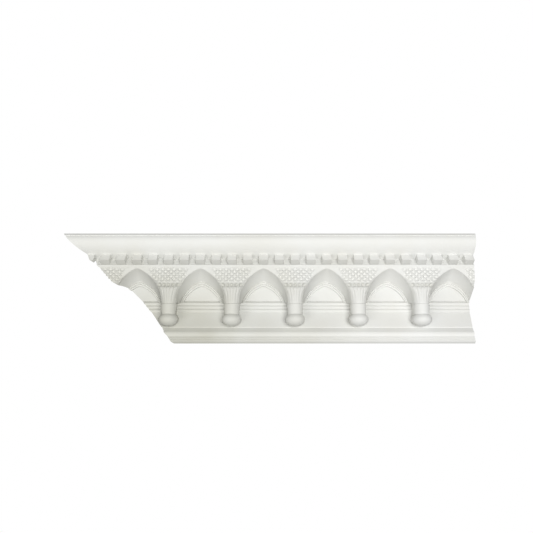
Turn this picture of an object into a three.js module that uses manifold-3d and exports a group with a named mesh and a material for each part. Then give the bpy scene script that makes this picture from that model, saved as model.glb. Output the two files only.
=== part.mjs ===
// A length of Gothic cornice, cast in one: crown, dentils, pointed arches with fans between them,
// a round drop under each fan, three reeds, a plain frieze and a foot band.
// Millimetres, +Z up. The wall fixing face lies in the plane Y = 0 and the room is on the -Y side.
// The origin is the middle of the wall fixing face.
import * as THREE from 'three';
import { mergeVertices } from 'three/addons/utils/BufferGeometryUtils.js';
import Module from 'manifold-3d';

const wasm = await Module();
wasm.setup();

// Length and fixing faces
const topLength = 518;
const wallFaceHeight = 45;
const ceilingFaceDepth = 45;
// The slanting end: how far it runs along for each millimetre up the face, and for each one into it
const endSlope = 1;
const endBevel = 0.35;

// Foot band
const footDepth = 3.8;
const footHeight = 7.9;
const footLean = 1.8;
const footGrooves = 2;
const grooveDepth = 0.5;
const grooveWidth = 0.8;
const ovoloOut = 2.6;
const ovoloUp = 5.6;
const ovoloBow = 0.9;
const neckSink = 0.6;
const neckHeight = 6;
const browOut = 1;
const browUp = 0.6;

// Frieze and the reeded string above it
const friezeLean = 5.3;
const friezeHeight = 20.2;
const reedCount = 3;
const reedOut = 2.1;
const reedUp = 4;
const reedBow = 1.3;
const sillQuirk = 1.1;

// Arcade, which lies on a plane sloping at 45 degrees
const arcadeClimb = 47.6;
const arcadeDepth = 19.4;
const bayPitch = 80;
const endToApex = 26.6;
const frontHalfSpan = 30.2;
const frontRise = 43.7;
const frontBow = 8.3;
const rimHalfSpan = 27.2;
const rimRise = 26.3;
const rimBow = 4.8;
const rimRelief = 3.3;
const rimStep = 1.6;
const windowHalfSpan = 23.6;
const windowRise = 20.4;
const windowBow = 3.3;
const archSteps = 9;

// Fans: the fluted pier that spreads up to the crest from each drop
const footEdgeRelief = 18;
const footBulge = 10;
const fanLip = 0.5;
const fluteCount = 5;
const fluteDepth = 1.3;
const fluteHeadClimb = 25;
const fluteShare = 0.88;
const netRelief = 0.5;
const netTopClimb = 43;
const crestWidth = 2.8;
const crestRelief = 1;

// Drops
const stemRadius = 10.2;
const neckRadius = 9.3;
const stemRelief = 18;
const dropHalfWidth = 12.3;
const dropHalfHeight = 8.7;
const dropBelowSill = 21.2;
const dropRelief = 22;
const dropSides = 16;
const dropSteps = 6;
// The web that ties a drop back to the frieze keeps this far inside its outline
const webInset = 1.2;
// and starts this far in front of the arcade's back plane, inside the frieze
const webStart = 0.5;

// Dentils and crown
const dentilsPerBay = 4;
const dentilWidth = 11.6;
const dentilDepth = 8.4;
const dentilHeight = 10.6;
const dentilLift = 0.6;
const ledgeHeight = 0.7;
const ledgeDepth = 0.9;
const soffitDepth = 12.5;
const crownOut = 17;
const crownUp = 11.5;
const crownSteps = 7;
const filletOut = 1;
const filletHeight = 3;

// Parts that are joined run this far into each other
const overlap = 4;

const slope = Math.SQRT1_2;

// Section of the plain mouldings, as points [out from the wall, up from the foot]
class Section {
  constructor() {
    this.points = [[0, 0]];
  }

  last() {
    return this.points[this.points.length - 1];
  }

  line(out, up) {
    const [fromOut, fromUp] = this.last();
    this.points.push([fromOut + out, fromUp + up]);
  }

  // A circular arc that stands proud of its chord by bow
  arc(out, up, bow, steps) {
    const [fromOut, fromUp] = this.last();
    for (let step = 1; step <= steps; step += 1) {
      const [along, across] = bowedPoint(Math.hypot(out, up), bow, step / steps);
      const length = Math.hypot(out, up);
      this.points.push([
        fromOut + (out * along + up * across) / length,
        fromUp + (up * along - out * across) / length,
      ]);
    }
  }
}

// A point on the arc over a chord: how far along the chord it is, and how far from it
function bowedPoint(chord, bow, share) {
  const half = chord / 2;
  const radius = (half * half + bow * bow) / (2 * bow);
  const angle = Math.asin(half / radius) * (2 * share - 1);
  return [half + radius * Math.sin(angle), radius * Math.cos(angle) - (radius - bow)];
}

const section = new Section();
section.line(footDepth, 0);
for (let band = 0; band <= footGrooves; band += 1) {
  const bandHeight = (footHeight - footGrooves * grooveWidth) / (footGrooves + 1);
  section.line(footLean / (footGrooves + 1), bandHeight);
  if (band < footGrooves) {
    section.line(-grooveDepth, 0);
    section.line(0, grooveWidth);
    section.line(grooveDepth, 0);
  }
}
section.arc(ovoloOut, ovoloUp, ovoloBow, 3);
section.line(-neckSink, neckSink / 2);
section.line(0, neckHeight);
section.line(browOut, browUp);
section.line(friezeLean, friezeHeight);
for (let reed = 0; reed < reedCount; reed += 1) {
  section.arc(reedOut, reedUp, reedBow, 4);
}
const [sillOut, sillUp] = section.last();

// The arcade's own frame: climb up the sloping face from the sill, and relief out of its back plane
function onFace(climb, relief) {
  return [sillOut + (climb + relief) * slope, sillUp + (climb - relief) * slope];
}

function arcadePoint(along, climb, relief) {
  const [out, up] = onFace(climb, relief);
  return [along, -out, up - wallFaceHeight / 2];
}

section.points.push(onFace(sillQuirk / 2, -sillQuirk));
section.points.push(onFace(sillQuirk, 0));
section.points.push(onFace(arcadeClimb - crestWidth, 0));
section.points.push(onFace(arcadeClimb - crestWidth, arcadeDepth + crestRelief));
section.points.push(onFace(arcadeClimb, arcadeDepth + crestRelief));
section.line(0, ledgeHeight);
section.line(-ledgeDepth, 0);
const [fasciaOut, fasciaUp] = section.last();
section.line(0, dentilLift + dentilHeight);
section.line(soffitDepth, 0);
const [crownFootOut, crownFootUp] = section.last();
for (let step = 1; step <= crownSteps; step += 1) {
  const angle = (step / crownSteps) * (Math.PI / 2);
  section.points.push([
    crownFootOut + crownOut * Math.sin(angle),
    crownFootUp + crownUp * (1 - Math.cos(angle)),
  ]);
}
section.line(filletOut, 0);
section.line(0, filletHeight);
const [projection, drop] = section.last();
section.line(-ceilingFaceDepth, 0);
section.points.push([0, wallFaceHeight]);

// The slanting end is a plane across the face, and the square end stands where the wall face is centred
const topClimb = (projection + drop) * slope;
const topRelief = (projection - drop) * slope;
const wallClimb = (wallFaceHeight / 2) * slope;
const wallLength = topLength - (topClimb - wallClimb) * endSlope - (topRelief + wallClimb) * endBevel;
const squareEnd = wallLength / 2;

function slantingEnd(out, up) {
  const climb = (out + up) * slope;
  const relief = (out - up) * slope;
  return squareEnd - topLength + (topClimb - climb) * endSlope + (topRelief - relief) * endBevel;
}

function solidFrom(geometry) {
  geometry.deleteAttribute('normal');
  geometry.deleteAttribute('uv');
  const merged = mergeVertices(geometry);
  const mesh = new wasm.Mesh({
    numProp: 3,
    vertProperties: new Float32Array(merged.attributes.position.array),
    triVerts: new Uint32Array(merged.index.array),
  });
  return new wasm.Manifold(mesh);
}

// Triangles between each ring of a stack and the next
function ringSides(rings) {
  const count = rings[0].length;
  const index = [];
  for (let ring = 0; ring + 1 < rings.length; ring += 1) {
    for (let point = 0; point < count; point += 1) {
      const a = ring * count + point;
      const b = ring * count + ((point + 1) % count);
      index.push(a, b, b + count, a, b + count, a + count);
    }
  }
  return index;
}

function solidFromIndex(rings, index) {
  const geometry = new THREE.BufferGeometry();
  geometry.setAttribute('position', new THREE.Float32BufferAttribute(rings.flat(2), 3));
  geometry.setIndex(index);
  return solidFrom(geometry);
}

// A closed solid through a stack of rings, each the same number of points seen from its far end
function solidFromRings(rings) {
  const count = rings[0].length;
  const index = ringSides(rings);
  const last = (rings.length - 1) * count;
  for (let point = 1; point + 1 < count; point += 1) {
    index.push(0, point + 1, point);
    index.push(last, last + point, last + point + 1);
  }
  return solidFromIndex(rings, index);
}

// The same for rings that go out along a front and home along a back, with ladders for end caps
function solidFromStrips(rings, frontCount) {
  const index = ringSides(rings);
  const last = (rings.length - 1) * 2 * frontCount;
  for (let point = 0; point + 1 < frontCount; point += 1) {
    const backHere = 2 * frontCount - 1 - point;
    index.push(point, backHere, point + 1, point + 1, backHere, backHere - 1);
    index.push(last + point, last + point + 1, last + backHere);
    index.push(last + point + 1, last + backHere - 1, last + backHere);
  }
  return solidFromIndex(rings, index);
}

function boxBetween(low, high) {
  const box = new THREE.BoxGeometry(high[0] - low[0], high[1] - low[1], high[2] - low[2]);
  box.translate((low[0] + high[0]) / 2, (low[1] + high[1]) / 2, (low[2] + high[2]) / 2);
  return solidFrom(box);
}

// The plain mouldings, run past both ends and trimmed later
function plainMouldings() {
  const runOut = bayPitch;
  const outline = new THREE.Shape(section.points.map(([out, up]) => new THREE.Vector2(-out, up)));
  const run = new THREE.ExtrudeGeometry(outline, { depth: topLength + 2 * runOut, bevelEnabled: false });
  const axes = new THREE.Matrix4().makeBasis(
    new THREE.Vector3(0, 1, 0),
    new THREE.Vector3(0, 0, 1),
    new THREE.Vector3(1, 0, 0),
  );
  run.applyMatrix4(axes);
  run.translate(squareEnd - topLength - runOut, 0, -wallFaceHeight / 2);
  return solidFrom(run);
}

// Half of a pointed arch, from its foot at (halfSpan, 0) to its apex at (0, rise)
function archHalf(halfSpan, rise, bow) {
  const chord = Math.hypot(halfSpan, rise);
  const points = [];
  for (let step = 0; step <= archSteps; step += 1) {
    const [along, across] = bowedPoint(chord, bow, step / archSteps);
    points.push([
      halfSpan + (-halfSpan * along + rise * across) / chord,
      (rise * along + halfSpan * across) / chord,
    ]);
  }
  return points;
}

function archRing(centre, relief, halfSpan, rise, bow) {
  const right = archHalf(halfSpan, rise, bow);
  const left = right.slice(0, -1).reverse().map(([across, climb]) => [-across, climb]);
  const outline = [[halfSpan, -overlap], ...right, ...left, [-halfSpan, -overlap]];
  return outline.map(([across, climb]) => arcadePoint(centre + across, climb, relief));
}

// Half the width of the front arch at a height above its springing
function frontHalfWidth(climb) {
  if (climb >= frontRise) {
    return 0;
  }
  const chord = Math.hypot(frontHalfSpan, frontRise);
  const radius = (chord * chord / 4 + frontBow * frontBow) / (2 * frontBow);
  const centreAcross = frontHalfSpan / 2 - (frontRise / chord) * (radius - frontBow);
  const centreClimb = frontRise / 2 - (frontHalfSpan / chord) * (radius - frontBow);
  return centreAcross + Math.sqrt(radius * radius - (climb - centreClimb) ** 2);
}

// The hollow of one arch: straight in to the front edge, splayed back to the rim, then two steps
// down to the window, whose floor is the plain plane behind
function archHollow(centre) {
  const midHalfSpan = (rimHalfSpan + windowHalfSpan) / 2;
  const midRise = (rimRise + windowRise) / 2;
  const midBow = (rimBow + windowBow) / 2;
  const deep = -overlap;
  const mouth = footEdgeRelief + footBulge + overlap;
  return solidFromRings([
    archRing(centre, deep, windowHalfSpan, windowRise, windowBow),
    archRing(centre, rimRelief - rimStep, windowHalfSpan, windowRise, windowBow),
    archRing(centre, rimRelief - rimStep, midHalfSpan, midRise, midBow),
    archRing(centre, rimRelief, midHalfSpan, midRise, midBow),
    archRing(centre, rimRelief, rimHalfSpan, rimRise, rimBow),
    archRing(centre, footEdgeRelief, frontHalfSpan, frontRise, frontBow),
    archRing(centre, mouth, frontHalfSpan, frontRise, frontBow),
  ]);
}

// Relief of a fan's front at a share of its half width, from -1 to 1, and a climb above the sill
function fanRelief(share, climb) {
  const rise = Math.min(1, Math.max(0, climb / (arcadeClimb - crestWidth)));
  const edge = footEdgeRelief + (arcadeDepth - footEdgeRelief) * rise;
  const roundness = 0.5 + 0.5 * rise;
  const bulge = footBulge * (1 - rise ** 1.5) * Math.max(0, 1 - share * share) ** roundness;
  return edge + bulge;
}

// Flutes below their heads, and a net of small diamonds above them
function fanCarving(column, climb, row) {
  if (Math.abs(column) > 2 * fluteCount) {
    return 0;
  }
  if (climb <= fluteHeadClimb) {
    const hollow = Math.sin(((column + 2 * fluteCount) / 4) * Math.PI) ** 2;
    return -hollow * fluteDepth * Math.max(0, climb / fluteHeadClimb);
  }
  if (climb < netTopClimb) {
    return (row + column) % 2 === 0 ? netRelief : -netRelief;
  }
  return 0;
}

function fanShares() {
  const inner = 2 * fluteCount;
  const columns = [];
  for (let column = -inner; column <= inner; column += 1) {
    columns.push({ column, share: (column / inner) * fluteShare });
  }
  const outer = [fluteShare + (1 - fluteShare) * 0.7, 1.06];
  const right = outer.map((share) => ({ column: inner + 1, share }));
  const left = [...outer].reverse().map((share) => ({ column: -inner - 1, share: -share }));
  return [...left, ...columns, ...right];
}

function fanClimbs() {
  const heads = fluteHeadClimb;
  const flutes = [0.33, 0.66, 0.88, 1].map((share) => share * heads);
  const net = [0.1, 0.4, 0.7, 1].map((share) => heads + share * (netTopClimb - heads));
  return [-fanLip, ...flutes, ...net, arcadeClimb - crestWidth / 2];
}

// The slab that carries every fan, as one surface over a flat back
function fanSlab(fanCentres) {
  const climbs = fanClimbs();
  const front = climbs.map((climb, row) => {
    const halfWidth = bayPitch / 2 - frontHalfWidth(climb);
    return fanCentres.flatMap((centre) => fanShares().map(({ column, share }) => {
      const across = Math.sign(share) * Math.min(Math.abs(share) * halfWidth, bayPitch / 2 - 0.3);
      const relief = fanRelief(share, climb) + fanCarving(column, climb, row);
      return arcadePoint(centre + across, climb, relief);
    }));
  });
  const back = climbs.map((climb, row) => front[row].map((point) => arcadePoint(point[0], climb, -2 * overlap)));
  // Each row becomes a ring that goes out along the front and home along the back
  const rings = front.map((row, at) => [...row, ...back[at].slice().reverse()]);
  return solidFromStrips(rings, front[0].length);
}

// A drop: a round boss on a short stem that leans out from the fan's foot
function fanDrop(centre) {
  const shoulder = Math.acos(Math.min(1, neckRadius / dropHalfWidth));
  const profile = [new THREE.Vector2(0, -dropHalfHeight)];
  for (let step = 1; step <= dropSteps; step += 1) {
    const angle = -Math.PI / 2 + (step / dropSteps) * (Math.PI / 2 + shoulder);
    profile.push(new THREE.Vector2(dropHalfWidth * Math.cos(angle), dropHalfHeight * Math.sin(angle)));
  }
  profile.push(new THREE.Vector2(stemRadius, dropBelowSill));
  profile.push(new THREE.Vector2(stemRadius - overlap, dropBelowSill + overlap));
  profile.push(new THREE.Vector2(0, dropBelowSill + overlap));
  const lathe = new THREE.LatheGeometry(profile, dropSides);
  lathe.rotateX(Math.atan2(stemRelief - dropRelief, dropBelowSill));
  return solidFrom(ontoFace(lathe, centre, -dropBelowSill, dropRelief));
}

// The web behind a drop and its stem, straight back into the frieze
function dropWeb(centre) {
  const halfStem = neckRadius - webInset;
  const halfWidth = dropHalfWidth - webInset;
  const halfHeight = dropHalfHeight - webInset;
  const start = Math.acos(Math.min(1, halfStem / halfWidth));
  const outline = new THREE.Shape();
  outline.moveTo(halfStem, overlap / 4);
  outline.lineTo(-halfStem, overlap / 4);
  outline.absellipse(0, -dropBelowSill, halfWidth, halfHeight, Math.PI - start, 2 * Math.PI + start, false);
  const settings = { depth: dropRelief - webStart, bevelEnabled: false, curveSegments: dropSteps };
  return solidFrom(ontoFace(new THREE.ExtrudeGeometry(outline, settings), centre, 0, webStart));
}

// Sets a shape drawn flat, with its relief along Z, onto the sloping face
function ontoFace(geometry, centre, climb, relief) {
  const positions = geometry.attributes.position;
  for (let at = 0; at < positions.count; at += 1) {
    const point = arcadePoint(
      centre + positions.getX(at),
      climb + positions.getY(at),
      relief + positions.getZ(at),
    );
    positions.setXYZ(at, ...point);
  }
  return geometry;
}

function dentil(centre) {
  const base = fasciaUp + dentilLift - wallFaceHeight / 2;
  return boxBetween(
    [centre - dentilWidth / 2, -fasciaOut - dentilDepth, base],
    [centre + dentilWidth / 2, -fasciaOut + overlap, base + dentilHeight + overlap / 2],
  );
}

// What is kept of the run: between the slanting end and the square end
function lengthKept() {
  const reach = 2 * (projection + drop);
  const box = new THREE.BoxGeometry(1, 1, 1);
  const positions = box.attributes.position;
  for (let at = 0; at < positions.count; at += 1) {
    const out = projection / 2 + positions.getY(at) * reach;
    const up = drop / 2 + positions.getZ(at) * reach;
    const along = positions.getX(at) < 0 ? slantingEnd(out, up) : squareEnd;
    positions.setXYZ(at, along, -out, up - wallFaceHeight / 2);
  }
  const flipped = box.index.array.slice();
  for (let at = 0; at < flipped.length; at += 3) {
    [flipped[at], flipped[at + 1]] = [flipped[at + 1], flipped[at]];
  }
  box.setIndex(new THREE.BufferAttribute(flipped, 1));
  return solidFrom(box);
}

// Middles of what repeats, from past the square end to past the slanting one
function repeatsFrom(start, pitch) {
  const middles = [];
  for (let along = start + 2 * pitch; along > squareEnd - topLength - pitch; along -= pitch) {
    middles.push(along);
  }
  return middles.reverse();
}

// An end that cuts a fan beyond its stem leaves no part of that fan's drop
function dropStays(centre) {
  const spare = stemRadius / 2;
  return centre < squareEnd + spare && centre > slantingEnd(...onFace(-dropBelowSill, dropRelief)) - spare;
}

function corniceLength() {
  const firstApex = squareEnd - endToApex;
  const arches = repeatsFrom(firstApex, bayPitch);
  const fans = repeatsFrom(firstApex - bayPitch / 2, bayPitch);
  const dentils = repeatsFrom(firstApex, bayPitch / dentilsPerBay);
  let arcade = fanSlab(fans);
  for (const centre of arches) {
    arcade = arcade.subtract(archHollow(centre));
  }
  let body = plainMouldings().add(arcade);
  for (const centre of fans.filter(dropStays)) {
    body = body.add(fanDrop(centre)).add(dropWeb(centre));
  }
  for (const centre of dentils) {
    body = body.add(dentil(centre));
  }
  return body.intersect(lengthKept());
}

function geometryFrom(solid) {
  const { vertProperties, triVerts } = solid.getMesh();
  const geometry = new THREE.BufferGeometry();
  geometry.setAttribute('position', new THREE.BufferAttribute(vertProperties, 3));
  geometry.setIndex(new THREE.BufferAttribute(triVerts, 1));
  geometry.computeVertexNormals();
  return geometry;
}

const plaster = new THREE.MeshStandardMaterial({ color: 0xf0f0ea, roughness: 0.75, metalness: 0 });

const cornice = new THREE.Mesh(geometryFrom(corniceLength()), plaster);
cornice.name = 'cornice_length';

const model = new THREE.Group();
model.add(cornice);

export default model;
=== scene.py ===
"""Looks of a Gothic cornice length: one casting in fine white plaster, with its finish, light and camera.

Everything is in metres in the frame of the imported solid: X runs along the length, the wall is the plane
Y = 0, the room is on the -Y side, and Z is up. The moulded face slopes at 45 degrees from wall to ceiling.
"""
import math

import bmesh
import bpy
from mathutils import Matrix, Vector


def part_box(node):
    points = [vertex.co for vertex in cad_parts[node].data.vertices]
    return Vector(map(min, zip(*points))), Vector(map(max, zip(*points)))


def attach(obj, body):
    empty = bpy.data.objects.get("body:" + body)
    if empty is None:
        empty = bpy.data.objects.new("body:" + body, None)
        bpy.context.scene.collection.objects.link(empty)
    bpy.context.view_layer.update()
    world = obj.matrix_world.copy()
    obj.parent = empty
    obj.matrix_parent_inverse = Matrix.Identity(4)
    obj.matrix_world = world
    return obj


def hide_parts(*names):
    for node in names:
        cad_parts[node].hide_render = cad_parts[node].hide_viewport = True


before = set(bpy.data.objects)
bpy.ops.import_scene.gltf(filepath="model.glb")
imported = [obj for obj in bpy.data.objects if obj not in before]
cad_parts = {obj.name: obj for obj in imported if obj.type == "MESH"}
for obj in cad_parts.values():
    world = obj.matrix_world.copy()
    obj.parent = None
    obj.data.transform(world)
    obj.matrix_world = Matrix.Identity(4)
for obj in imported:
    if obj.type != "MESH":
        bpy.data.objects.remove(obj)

bl_info = {
    "name": "Gothic Cornice Length",
    "version": (1, 0, 0),
    "blender": (4, 5, 0),
    "location": "View3D > Sidebar > Cornice",
    "description": "Casts a length of fan-and-arch cornice in plaster and sets up its studio",
    "category": "Add Mesh",
}

MM = 0.001
SLOPE = math.sqrt(0.5)
CORNICE_NODE = "cornice_length"
CAD_LOW, CAD_HIGH = (Vector(corner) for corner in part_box(CORNICE_NODE))
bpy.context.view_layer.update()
# Parts that are joined run this far into each other
OVERLAP = 4 * MM


def size_mm(name, description, millimetres):
    """A length property whose default is given in millimetres."""
    return bpy.props.FloatProperty(
        name=name, description=description, default=millimetres * MM, precision=5, unit="LENGTH", min=0.0
    )


def size_m(name, description, metres):
    """A length or place that may be negative, given in metres."""
    return bpy.props.FloatProperty(
        name=name, description=description, default=metres, precision=3, unit="LENGTH"
    )


def place_m(name, description, metres):
    """Three distances in metres."""
    return bpy.props.FloatVectorProperty(
        name=name, description=description, default=metres, size=3, precision=3, unit="LENGTH"
    )


def watts(name, description, value):
    return bpy.props.FloatProperty(name=name, description=description, default=value, unit="POWER", min=0.0)


def plain_number(name, description, value):
    return bpy.props.FloatProperty(name=name, description=description, default=value, precision=3)


def whole_number(name, description, value):
    return bpy.props.IntProperty(name=name, description=description, default=value, min=1)


def colour(name, description, value):
    return bpy.props.FloatVectorProperty(
        name=name, description=description, default=value, size=3, subtype="COLOR", min=0.0, max=1.0
    )


class CorniceSection(bpy.types.PropertyGroup):
    """Sizes of the plain mouldings, from the foot up."""

    wall_height: size_mm("Wall face", "Height of the face that is fixed to the wall", -2 * CAD_LOW.z / MM)
    ceiling_depth: size_mm("Ceiling face", "Width of the face that is fixed to the ceiling", 45)
    foot_depth: size_mm("Foot depth", "Thickness of the lower edge", 3.8)
    foot_height: size_mm("Foot height", "Height of the grooved foot band", 7.9)
    foot_lean: size_mm("Foot lean", "How far the foot band leans out", 1.8)
    foot_grooves: whole_number("Foot grooves", "Fine grooves along the foot band", 2)
    groove_depth: size_mm("Groove depth", "Depth of a foot groove", 0.5)
    groove_width: size_mm("Groove width", "Width of a foot groove", 0.8)
    ovolo_out: size_mm("Ovolo out", "How far the foot ovolo comes forward", 2.6)
    ovolo_up: size_mm("Ovolo up", "Height of the foot ovolo", 5.6)
    ovolo_bow: size_mm("Ovolo bow", "Roundness of the foot ovolo", 0.9)
    neck_sink: size_mm("Neck sink", "How far the neck is sunk behind the ovolo", 0.6)
    neck_height: size_mm("Neck height", "Height of the sunk neck above the ovolo", 6)
    brow_out: size_mm("Brow out", "How far the frieze's lower edge juts over the neck", 1)
    brow_up: size_mm("Brow up", "Rise of the frieze's underside", 0.6)
    frieze_lean: size_mm("Frieze lean", "How far the frieze leans out", 5.3)
    frieze_height: size_mm("Frieze height", "Height of the plain frieze", 20.2)
    reeds: whole_number("Reeds", "Reeds in the string under the arches", 3)
    reed_out: size_mm("Reed out", "How far each reed comes forward", 2.1)
    reed_up: size_mm("Reed up", "How far each reed climbs", 4)
    reed_bow: size_mm("Reed bow", "Roundness of a reed", 1.3)
    sill_quirk: size_mm("Sill quirk", "Width and depth of the groove along the sill", 1.1)
    crest_width: size_mm("Crest width", "Width of the raised strip over the arches", 2.8)
    crest_relief: size_mm("Crest relief", "How far the strip over the arches is raised", 1)
    ledge_height: size_mm("Ledge height", "Height of the ledge under the dentils", 0.7)
    ledge_depth: size_mm("Ledge depth", "Width of the ledge under the dentils", 0.9)
    soffit_depth: size_mm("Soffit depth", "Width of the flat soffit over the dentils", 12.5)
    crown_out: size_mm("Crown out", "How far the crown comes forward", 17)
    crown_up: size_mm("Crown up", "Height of the crown's curve", 11.5)
    fillet_out: size_mm("Fillet out", "Step under the top fillet", 1)
    fillet_height: size_mm("Fillet height", "Height of the top fillet", 3)
    dentil_lift: size_mm("Dentil lift", "Gap between the ledge and the dentils", 0.6)
    dentil_height: size_mm("Dentil height", "Height of a dentil", 10.6)
    dentil_depth: size_mm("Dentil depth", "How far a dentil stands out", 8.4)
    dentil_width: size_mm("Dentil width", "Width of a dentil", 11.6)
    dentil_round: size_mm("Dentil rounding", "Rounding of a dentil's edges", 0.7)


class CorniceArcade(bpy.types.PropertyGroup):
    """Sizes of the arches, fans, drops and the length itself."""

    top_length: size_mm("Length", "Length along the top edge", (CAD_HIGH.x - CAD_LOW.x) / MM)
    end_slope: plain_number("End slope", "Run of the slanting end for each unit up the face", 1)
    end_bevel: plain_number("End bevel", "Run of the slanting end for each unit into the face", 0.35)
    climb: size_mm("Arcade climb", "Distance up the face from the sill to the crest", 47.6)
    depth: size_mm("Arcade depth", "Relief of the arcade over the plane behind it", 19.4)
    bay_pitch: size_mm("Bay pitch", "Distance from one arch to the next", 80)
    end_to_apex: size_mm("End to apex", "From the square end to the first apex", 26.6)
    dentils_per_bay: whole_number("Dentils per bay", "Dentils to each arch", 4)
    front_span: size_mm("Front half span", "Half the width of the front arch", 30.2)
    front_rise: size_mm("Front rise", "Height of the front arch", 43.7)
    front_bow: size_mm("Front bow", "Roundness of the front arch", 8.3)
    rim_span: size_mm("Rim half span", "Half the width of the rim at the back", 27.2)
    rim_rise: size_mm("Rim rise", "Height of the rim at the back", 26.3)
    rim_bow: size_mm("Rim bow", "Roundness of the rim", 4.8)
    rim_relief: size_mm("Rim relief", "Relief of the rim's beads", 3.6)
    rim_bed: size_mm("Rim bed", "Relief of the groove between the rim's beads", 1.9)
    window_span: size_mm("Window half span", "Half the width of the plain window", 23.6)
    window_rise: size_mm("Window rise", "Height of the plain window", 20.4)
    window_bow: size_mm("Window bow", "Roundness of the window", 3.3)
    apex_softness: size_mm("Apex softness", "Rounding of the points of the arches", 2)
    edge_relief: size_mm("Fan edge relief", "Relief of a fan's edge at its foot", 18)
    bulge: size_mm("Fan bulge", "How far a fan's foot swells over its edge", 10)
    fan_lip: size_mm("Fan lip", "How far a fan's foot hangs below the sill", 0.5)
    stem_radius: size_mm("Stem radius", "Radius of the stem at the sill", 10.2)
    neck_radius: size_mm("Neck radius", "Radius of the stem just over a drop", 9.3)
    stem_groove: size_mm("Stem groove", "Depth of the groove round the stem under the sill", 0.7)
    stem_relief: size_mm("Stem relief", "Relief of the stem's axis at the sill", 18)
    drop_width: size_mm("Drop half width", "Half the width of a drop", 12.3)
    drop_height: size_mm("Drop half height", "Half the height of a drop", 8.7)
    drop_below: size_mm("Drop below sill", "From the sill down to a drop's middle", 21.2)
    drop_relief: size_mm("Drop relief", "Relief of a drop's middle", 22)
    web_inset: size_mm("Web inset", "How far the web behind a drop keeps inside it", 1.2)
    web_start: size_mm("Web start", "Relief at which the web behind a drop starts, inside the frieze", 0.5)


class CorniceCarving(bpy.types.PropertyGroup):
    """Sizes of the low carving on the fans."""

    flutes: whole_number("Flutes", "Flutes on each fan", 5)
    flute_share: plain_number("Flute share", "Share of a fan's width that the flutes take", 0.88)
    flute_depth: size_mm("Flute depth", "Depth of the flats' hollow under their heads", 0.7)
    groove_depth: size_mm("Groove depth", "Depth of the narrow grooves between the flats", 1.8)
    groove_width: size_mm("Groove width", "Width of the narrow grooves between the flats", 1.4)
    head_climb: size_mm("Head climb", "Height of the flats' heads over the sill", 22.4)
    band_depth: size_mm("Band depth", "Depth of the hollow band under the net", 1.6)
    band_height: size_mm("Band height", "Height of the hollow band under the net", 4.6)
    pit_depth: size_mm("Pit depth", "Depth of the pit at the head of each flat", 3.2)
    pit_radius: size_mm("Pit radius", "Radius of the pit at the head of each flat", 1.9)
    net_foot: size_mm("Net foot", "Where the net of ribs starts over the sill", 26.5)
    net_top: size_mm("Net top", "Where the net of ribs ends over the sill", 44)
    net_half_foot: size_mm("Net half width below", "Half the net's width at its foot", 20.5)
    net_half_top: size_mm("Net half width above", "Half the net's width at its top", 28)
    net_across: size_mm("Net mesh across", "Width of one mesh of the net", 7.2)
    net_up: size_mm("Net mesh up", "Height of one mesh of the net", 6)
    net_depth: size_mm("Net depth", "Depth of the net's meshes under its ribs", 1.5)
    net_fade: size_mm("Net fade", "Width over which the net fades out at its sides", 4.5)


class CorniceFinish(bpy.types.PropertyGroup):
    """Colours and surface of the plaster, and the shade painted into its colour."""

    white: colour("Fine plaster", "Colour of the finished face", (0.79, 0.794, 0.777))
    cream: colour("Cream tint", "Warmer tint that clouds the finished face", (0.771, 0.768, 0.736))
    raw: colour("Raw plaster", "Colour of the cut ends and the back", (0.78, 0.77, 0.72))
    raw_stain: colour("Raw stain", "Darker clouds on the cut ends and the back", (0.66, 0.64, 0.58))
    # Painted shade: the shades below darken the colour over the sunk field, in the windows, in the splays,
    # in the row of pits and under the dentils
    field_painted_shade: colour("Field shade", "Dust on all between the foot and the dentils", (0.96, 0.96, 0.96))
    field_foot: size_mm("Field foot", "How far below the sill the dusty field starts", 36.4)
    window_painted_shade: colour("Window shade", "Dust in the windows of the arches", (0.95, 0.95, 0.95))
    hollow_painted_shade: colour("Hollow shade", "Dust in the splays of the arches", (0.92, 0.92, 0.92))
    hollow_relief: size_mm("Hollow relief", "Relief up to which the splays hold dust", 17)
    underside_painted_shade: colour("Underside shade", "Shade on the undersides of the dentils", (0.77, 0.77, 0.76))
    row_painted_shade: colour("Pit row shade", "Dust in the row of pits under the net", (0.88, 0.88, 0.87))
    row_relief: size_mm("Pit row relief", "Relief over which the row of pits holds dust", 18)
    row_fade: size_mm("Pit row fade", "Relief over which the dust in the row of pits fades in", 3)
    stain: colour("Stain", "Yellow-grey stain towards the slanting end and the foot", (0.7, 0.695, 0.635))
    stain_from: size_m("Stain from", "Where along the length the stain starts", 0.08)
    stain_to: size_m("Stain to", "Where along the length the stain is full", -0.18)
    stain_top: size_m("Stain top", "Height where the stain starts", 0.078)
    stain_foot: size_m("Stain foot", "Height where the stain is full", -0.012)
    grain: size_mm("Grain", "Size of the fine surface grain", 0.9)
    grain_height: size_mm("Grain height", "Height of the fine surface grain", 0.25)
    cloud: size_mm("Clouds", "Size of the soft colour clouds", 60)


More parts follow.
